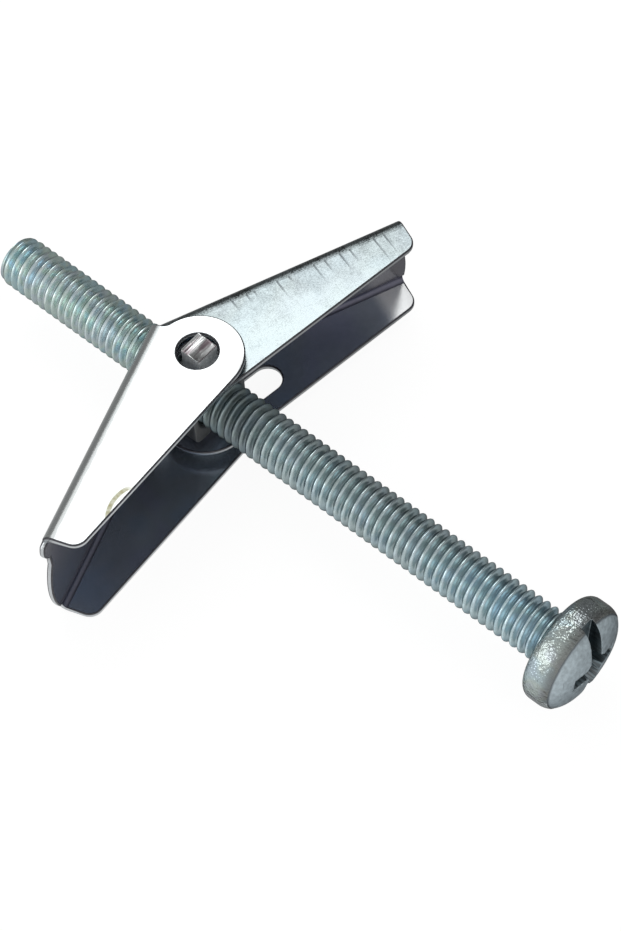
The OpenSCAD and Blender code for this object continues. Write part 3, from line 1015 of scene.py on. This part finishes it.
class NUT_OT_make(bpy.types.Operator):
    """Finishes the trunnion nut and shears the ends of its tabs"""

    bl_idname = "toggle_bolt.nut"
    bl_label = "Trunnion Nut"

    # Where the bands of the upper tab's sheared end meet, and how far its bare metal reaches down the tab.
    bands = (-0.85, -0.35, 0.1, 0.55, 0.95)
    bare = 1.2
    # Across the end from the tip's side: a slope up, then a curve down with a step in it.
    slope_x, slope = -0.6, 0.25
    curve_x, curve = -0.5, 0.5
    step_x, step_deep = 0.1, 0.12

    def execute(self, context):
        s = context.scene.toggle_nut
        bm = cad_copy("trunnion_nut")
        top = max(v.co.z for v in bm.verts)
        bevel(bm, sharp_edges(bm, CORNER), mm(s.edge))
        for x in self.bands:
            upper = [f for f in bm.faces if f.calc_center_median().z > top - 0.05 and f.normal.z > 0.9]
            geom = list({g for f in upper for g in (*f.verts, *f.edges, f)})
            bmesh.ops.bisect_plane(bm, geom=geom, dist=1e-4, plane_co=(PIVOT.x + x, 0, 0), plane_no=(1, 0, 0))
        for face in bm.faces:
            face.material_index = int(face.calc_center_median().z > top - self.bare)
        for v in bm.verts:
            if v.co.z > top - 0.02:
                v.co.z -= self.shear(v.co.x - PIVOT.x, mm(s.tab_crown))
        piece = link_piece(bm, "trunnion_block", [nut_material(s), sheared_material(s)], math.radians(25))
        place(piece, "nut", "nut_zinc", "trunnion_nut")
        return {"FINISHED"}

    def shear(self, x, fall_away):
        """How far the sheared end lies below its highest band, which is towards the tip."""
        curved = self.curve * fall_away * max(x - self.curve_x, 0) ** 2
        return curved + self.slope * max(self.slope_x - x, 0) + (self.step_deep if x > self.step_x else 0.0)


# ---------- wings ----------

class Wing:
    """One wing: its CAD node and body, its own axes and its finish."""

    # Where the ends of the flanges start to droop, and by how much.
    droop_from, droop = 21.8, 0.0

    def __init__(self, node, side, tint, grain, specks, settings):
        """Reads a wing's place from its CAD node, and takes the colour and the grain of its outside."""
        self.name, self.slot, self.colour = node, node + "_zinc", tint
        self.grain, self.specks = grain, specks
        low, high = corners(node)
        self.low_z, self.high_z = low.z, high.z
        self.along, self.open = web_axes(node, side, settings)
        self.web_off, self.fold = mm(settings.web_off), mm(settings.fold_r)
        # The folding tool presses a line on each flange, just past the fold.
        self.pressed_y = self.web_off - self.fold - 0.15

    def insets(self, point):
        """How far a point lies inside the web's outer face and inside the nearer flange's."""
        return ((point - PIVOT).dot(self.open) + self.web_off,
                min(point.z - self.low_z, self.high_z - point.z))

    def depth(self, point):
        """How deep a point lies under the channel's outer skin."""
        off, inset = self.insets(point)
        if off < self.fold and inset < self.fold:
            return self.fold - math.hypot(self.fold - off, self.fold - inset)
        return min(off, inset)

    def in_fold(self, point):
        """Whether a point lies in the stretch of the section that a fold rounds."""
        return max(self.insets(point)) < self.fold

    # What one wing has and the other one hasn't, as masks over the wing's own coordinates.
    def dimming(self, tree, parts):
        """How much painted shade darkens the outside of the flange across it."""
        return 0.0

    def marks(self, tree, parts):
        """Marks on the outside."""
        return 0.0

    def stain(self, tree, at, parts):
        """Stains on the outside."""
        return 0.0

    def highlight_end(self, tree, x):
        """Where a painted highlight lies on the inside towards the wing's end."""
        return 0.0


class OuterWing(Wing):
    """The outer wing, with a yellow run near its end."""

    run_middle = (20.27, 2.96)
    run_r = 3.95
    run_w = 0.3

    def stain(self, tree, at, parts):
        """An arc of a ring, patchy and faded at both ends."""
        x, y, z = parts
        out = from_axis(tree, less(tree, x, self.run_middle[0]), less(tree, y, self.run_middle[1]))
        ring = line_at(tree, out, self.run_r, self.run_w * 0.5, self.run_w * 1.2)
        arc_ends = times(tree, rise(tree, x, 17.2, 18.2), fall(tree, x, 22.1, 22.5),
                         fall(tree, y, 0.35, 0.95))
        upper_flange = rise(tree, z, 6.5, 7.0)
        patchy = scaled(tree, noise(tree, at, 3.0, roughness=0.6), 0.8, 0.45, clamp=True)
        return times(tree, ring, arc_ends, upper_flange, patchy)


class InnerWing(Wing):
    """The inner wing, whose flange has a row of drag marks from its fold."""

    # Where each mark crosses the pressed line, along the wing, and how long it is.
    drags = ((6.3, 1.8), (8.0, 1.5), (8.9, 0.9), (11.6, 3.0), (13.0, 0.9), (16.0, 3.0), (17.3, 2.0),
             (19.1, 3.0), (20.3, 2.2), (23.2, 3.6), (24.4, 2.8))
    drag_w = 0.13
    droop = 0.018

    def dimming(self, tree, parts):
        """The flange is painted darker towards its fold, as shade."""
        return times(tree, rise(tree, parts[1], -1.0, 4.5), 0.3)

    def marks(self, tree, parts):
        """The row of drag marks."""
        total = 0.0
        for spot, run in self.drags:
            mask = use_group(tree, drag_mark(), {
                "Along": parts[0], "Across": parts[1], "Place": spot, "Start": self.pressed_y,
                "Length": run, "Width": self.drag_w})["Mask"]
            total = calc(tree, "MAXIMUM", total, mask)
        return total

    def highlight_end(self, tree, x):
        """Over the last stretch of the wing."""
        return rise(tree, x, 22.4, 24.2)


class WINGS_OT_make(bpy.types.Operator):
    """Finishes both folded wings: rounded sheared edges, plating outside and inside"""

    bl_idname = "toggle_bolt.wings"
    bl_label = "Wings"

    OUTSIDE, INSIDE, SHEARED, DULL, RIM = range(5)
    # The wall of the lower ear's hole, out to this radius, is painted dark as shade, like the folds.
    hole_reach = 2.3
    # A face is a sheared one where its middle lies this near the sheet's own middle, as a share of the sheet.
    sheared_band = 0.35

    def execute(self, context):
        s = context.scene.toggle_wings
        both = [edge_material(s), fold_material(s), rim_material(s)]
        # The inner wing takes the outer wing's zinc painted darker, as shade.
        wings = (OuterWing("outer_wing", -1, s.outer_colour, 0.15, 0.15, s),
                 InnerWing("inner_wing", 1, s.inner_colour, 1.9, 0.7, s))
        for wing in wings:
            bm = cad_copy(wing.name)
            self.sort_faces(bm, wing, mm(s.sheet))
            rims = [e for e in sharp_edges(bm, CORNER) if self.at_sheet_face(e)]
            bevel(bm, rims, mm(s.edge), material=self.RIM)
            materials = [flange_material(s, wing), inside_material(s, wing)] + both
            piece = link_piece(bm, wing.name + "_sheet", materials)
            even_normals(piece)
            place(piece, wing.name, wing.slot, wing.name)
        return {"FINISHED"}

    def at_sheet_face(self, edge):
        """Whether an edge lies between a face of the sheet and a sheared one."""
        return sum(f.material_index in (self.OUTSIDE, self.INSIDE) for f in edge.link_faces) == 1

    def sort_faces(self, bm, wing, sheet):
        """Gives each face the material of its place on the sheet."""
        for face in bm.faces:
            middle = face.calc_center_median()
            depth = wing.depth(middle)
            if abs(depth - sheet / 2) < self.sheared_band * sheet:
                hidden = (middle - PIVOT).xy.length < self.hole_reach and middle.z < PIVOT.z
                face.material_index = self.DULL if hidden else self.SHEARED
            elif depth < sheet / 2:
                face.material_index = self.OUTSIDE
            else:
                face.material_index = self.DULL if wing.in_fold(middle) else self.INSIDE


# ---------- spring ----------

class SPRING_OT_make(bpy.types.Operator):
    """Winds the spring: a coil round the pivot and two legs that ride on the wings"""

    bl_idname = "toggle_bolt.spring"
    bl_label = "Spring"

    turn_steps = 48
    tail_steps = 12
    # A leg's wire is a little thinner than the coil's, which it slides in. The wire's ends are rounded.
    leg_play = 0.01
    end_round = 0.25

    def execute(self, context):
        s, wings = context.scene.toggle_spring, context.scene.toggle_wings
        material = wire_material(s)
        wire_r = mm(s.wire) / 2
        coil_r = PIVOT.x - SPRING_LOW.x - wire_r
        low, high = SPRING_LOW.z + wire_r, SPRING_HIGH.z - wire_r
        off = mm(wings.web_off) - mm(wings.sheet) - mm(s.gap) - wire_r
        leave, feet = {}, {}
        for node, side in (("outer_wing", -1), ("inner_wing", 1)):
            along, free = web_axes(node, side, wings)
            foot = along * mm(s.leg) - free * off
            spread = math.acos(coil_r / foot.length)
            feet[node] = foot
            leave[node] = math.atan2(foot.y, foot.x) + side * spread
        start = leave["outer_wing"] + math.tau
        turn = start - leave["inner_wing"] + math.tau
        centre = Vector((PIVOT.x, PIVOT.y, 0))

        def on_coil(angle_now):
            share = (start - angle_now) / turn
            return centre + Vector((coil_r * math.cos(angle_now), coil_r * math.sin(angle_now),
                                    low + share * (high - low)))

        coil = [on_coil(start - turn * i / self.turn_steps) for i in range(self.turn_steps + 1)]
        piece = self.wire(coil, wire_r, s.sides, "spring_coil", material)
        place(piece, "nut", "spring_wire", "torsion_spring")
        # Each leg carries as much of the coil's curve as its wing can swing, hidden in the coil at rest.
        swing = {j["child"]: math.radians(max(j["range_deg"]))
                 for j in frame["joints"] if j["type"] == "hinge"}
        for node, first, way in (("outer_wing", start, -1), ("inner_wing", start - turn, 1)):
            tail = [on_coil(first + way * swing[node] * i / self.tail_steps)
                    for i in range(self.tail_steps, -1, -1)]
            foot = centre + feet[node] + Vector((0, 0, tail[-1].z))
            piece = self.wire(tail + [foot], wire_r - self.leg_play, s.sides, "spring_leg_" + node, material)
            place(piece, node, "spring_wire")
        return {"FINISHED"}

    def wire(self, path, radius, sides, name, material):
        """A round wire along a path, with rounded ends."""
        curve = bpy.data.curves.new(name, "CURVE")
        curve.dimensions = "3D"
        line = curve.splines.new("POLY")
        line.points.add(len(path) - 1)
        for point, place_mm in zip(line.points, path):
            point.co = (*place_mm, 1)
        curve.bevel_depth = radius
        curve.bevel_resolution = max(sides // 4 - 1, 1)
        curve.use_fill_caps = True
        holder = bpy.data.objects.new(name + "_path", curve)
        bpy.context.scene.collection.objects.link(holder)
        mesh = applied_mesh(holder)
        bpy.data.objects.remove(holder)
        bm = bmesh.new()
        bm.from_mesh(mesh)
        bpy.data.meshes.remove(mesh)
        bmesh.ops.remove_doubles(bm, verts=bm.verts, dist=1e-4)
        bevel(bm, sharp_edges(bm, math.radians(60)), radius * self.end_round)
        bmesh.ops.recalc_face_normals(bm, faces=bm.faces)
        return link_piece(bm, name, [material])


# ---------- stage ----------

class STAGE_OT_make(bpy.types.Operator):
    """Lays the floor and sets the lamps and the camera"""

    bl_idname = "toggle_bolt.stage"
    bl_label = "Stage"

    aim = Vector((3.98, -1.35, 10.87))
    softbox_at = Vector((-245, 160, 430))
    softbox_size = 250.0
    floor_r, tent_r = 4000.0, 900.0
    # The tent's glow: all round, and what it gains towards -Y, +X and the floor.
    level, slope_y, gain_x, gain_floor = 0.40, 0.27, 0.25, 0.14
    # The tent's windows: direction, cosines of the angles to their edge and full light, and glow.
    windows = (((-0.37, -0.81, 0.46), 0.93, 0.97, 1.1), ((-0.31, 0.56, 0.77), 0.965, 0.985, 0.9))
    # How brightly the floor glows for the camera, and the share of its look that is glow and not shadow.
    floor_glow = 1.08
    glow_share = 0.85

    def execute(self, context):
        s = context.scene.toggle_stage
        self.camera(s)
        self.floor(s)
        self.tent()
        self.world(s)
        self.softbox(s)
        context.scene.view_settings.view_transform = "Standard"
        return {"FINISHED"}

    def camera(self, s):
        """The camera, aimed at the bolt and turned about its own line of sight."""
        data = bpy.data.cameras.new("camera")
        data.lens = s.lens
        data.sensor_width = 36
        data.clip_start = 0.01
        turned = (Matrix.Rotation(s.azimuth, 4, "Z") @ Matrix.Rotation(math.pi / 2 - s.elevation, 4, "X")
                  @ Matrix.Rotation(s.roll, 4, "Z"))
        camera = bpy.data.objects.new("camera", data)
        back = turned.to_3x3() @ Vector((0, 0, 1))
        camera.matrix_world = Matrix.Translation(self.aim * MM + back * s.distance) @ turned
        bpy.context.scene.collection.objects.link(camera)
        bpy.context.scene.camera = camera

    def tent_level(self, tree):
        """How bright the tent is in each direction, with its windows."""
        away = add(tree, "ShaderNodeVectorMath", [in_mm(tree, shift=-self.aim)],
                   operation="NORMALIZE").outputs[0]

        def towards(*direction):
            return add(tree, "ShaderNodeVectorMath", [away, direction],
                       operation="DOT_PRODUCT").outputs["Value"]

        level = scaled(tree, towards(0, -1, 0), self.slope_y, self.level)
        for direction, gain in (((1, 0, 0), self.gain_x), ((0, 0, -1), self.gain_floor)):
            level = scaled(tree, calc(tree, "MAXIMUM", towards(*direction), 0.0), gain, level)
        for direction, edge, full, glow in self.windows:
            level = scaled(tree, rise(tree, towards(*direction), edge, full), glow, level)
        return level

    def floor(self, s):
        """A white floor: it glows evenly for the camera and takes a faint shadow."""
        bm = bmesh.new()
        bmesh.ops.create_circle(bm, cap_ends=True, segments=64, radius=self.floor_r)
        material, tree = stage_material("pale_floor")
        seen = seen_by(tree, "Camera", "Transmission")
        reflected = times(tree, self.tent_level(tree), less(tree, 1.0, seen))
        white = white_glow(tree, scaled(tree, seen, self.floor_glow, reflected))
        lit = add(tree, "ShaderNodeBsdfDiffuse", {"Color": rgba(s.floor_colour)}).outputs[0]
        glow = times(tree, seen_by(tree, "Camera", "Transmission", "Glossy"), self.glow_share)
        mixed = add(tree, "ShaderNodeMixShader", [glow, lit, white]).outputs[0]
        add(tree, "ShaderNodeOutputMaterial", [mixed])
        link_piece(bm, "floor", [material])

    def tent(self):
        """A light tent that only shows in the metal."""
        bm = bmesh.new()
        bmesh.ops.create_uvsphere(bm, u_segments=64, v_segments=32, radius=self.tent_r)
        bmesh.ops.bisect_plane(bm, geom=bm.verts[:] + bm.edges[:] + bm.faces[:], plane_co=(0, 0, 0),
                               plane_no=(0, 0, -1), clear_outer=True)
        bmesh.ops.reverse_faces(bm, faces=bm.faces)
        material, tree = stage_material("tent_cloth")
        add(tree, "ShaderNodeOutputMaterial", [white_glow(tree, self.tent_level(tree))])
        tent = link_piece(bm, "light_tent", [material])
        tent.visible_camera = False
        tent.visible_diffuse = False
        tent.visible_shadow = False
        tent.visible_transmission = False

    def world(self, s):
        """An even light all round, which the camera, metal and glass see as white."""
        world = bpy.data.worlds.new("studio")
        bpy.context.scene.world = world
        world.use_nodes = True
        tree = world.node_tree
        strength = scaled(tree, seen_by(tree, "Camera", "Glossy", "Transmission"), 1.0 - s.fill, s.fill)
        background = tree.nodes["Background"]
        background.inputs["Color"].default_value = (1, 1, 1, 1)
        feed(tree, background.inputs["Strength"], strength)

    def softbox(self, s):
        """A round area lamp that faces the bolt."""
        data = bpy.data.lights.new("softbox", "AREA")
        data.shape = "DISK"
        data.size = self.softbox_size * MM
        data.energy = s.softbox
        lamp = bpy.data.objects.new("softbox", data)
        lamp.location = self.softbox_at * MM
        lamp.rotation_mode = "QUATERNION"
        lamp.rotation_quaternion = (self.softbox_at - self.aim).to_track_quat("Z", "Y")
        bpy.context.scene.collection.objects.link(lamp)


# ---------- the add-on ----------

GROUPS = {
    "toggle_stage": (StageSettings, (STAGE_OT_make,)),
    "toggle_screw": (ScrewSettings, (SHANK_OT_make, HEAD_OT_make)),
    "toggle_nut": (NutSettings, (NUT_OT_make,)),
    "toggle_wings": (WingSettings, (WINGS_OT_make,)),
    "toggle_spring": (SpringSettings, (SPRING_OT_make,)),
}


class VIEW3D_PT_toggle_bolt(bpy.types.Panel):
    """Lists the bolt's pieces in the sidebar"""

    bl_label = "Toggle Bolt"
    bl_space_type = "VIEW_3D"
    bl_region_type = "UI"
    bl_category = "Toggle Bolt"

    def draw(self, context):
        for group, (_, operators) in GROUPS.items():
            box = self.layout.box()
            settings = getattr(context.scene, group)
            for name in settings.bl_rna.properties.keys():
                if name not in {"rna_type", "name"}:
                    box.prop(settings, name)
            for operator in operators:
                box.operator(operator.bl_idname)


SETTINGS = [settings for settings, _ in GROUPS.values()]
OPERATORS = [operator for _, operators in GROUPS.values() for operator in operators]


def register():
    """Registers the settings, the operators and the panel."""
    for cls in (*SETTINGS, *OPERATORS, VIEW3D_PT_toggle_bolt):
        bpy.utils.register_class(cls)
    for name, (settings, _) in GROUPS.items():
        setattr(bpy.types.Scene, name, PointerProperty(type=settings))


def unregister():
    """Takes them away again."""
    for name in GROUPS:
        delattr(bpy.types.Scene, name)
    for cls in (VIEW3D_PT_toggle_bolt, *reversed(OPERATORS), *reversed(SETTINGS)):
        bpy.utils.unregister_class(cls)


def main():
    """Makes the stage and every piece."""
    register()
    for operator in OPERATORS:
        group, name = operator.bl_idname.split(".")
        getattr(getattr(bpy.ops, group), name)()


if __name__ == "__main__":
    main()
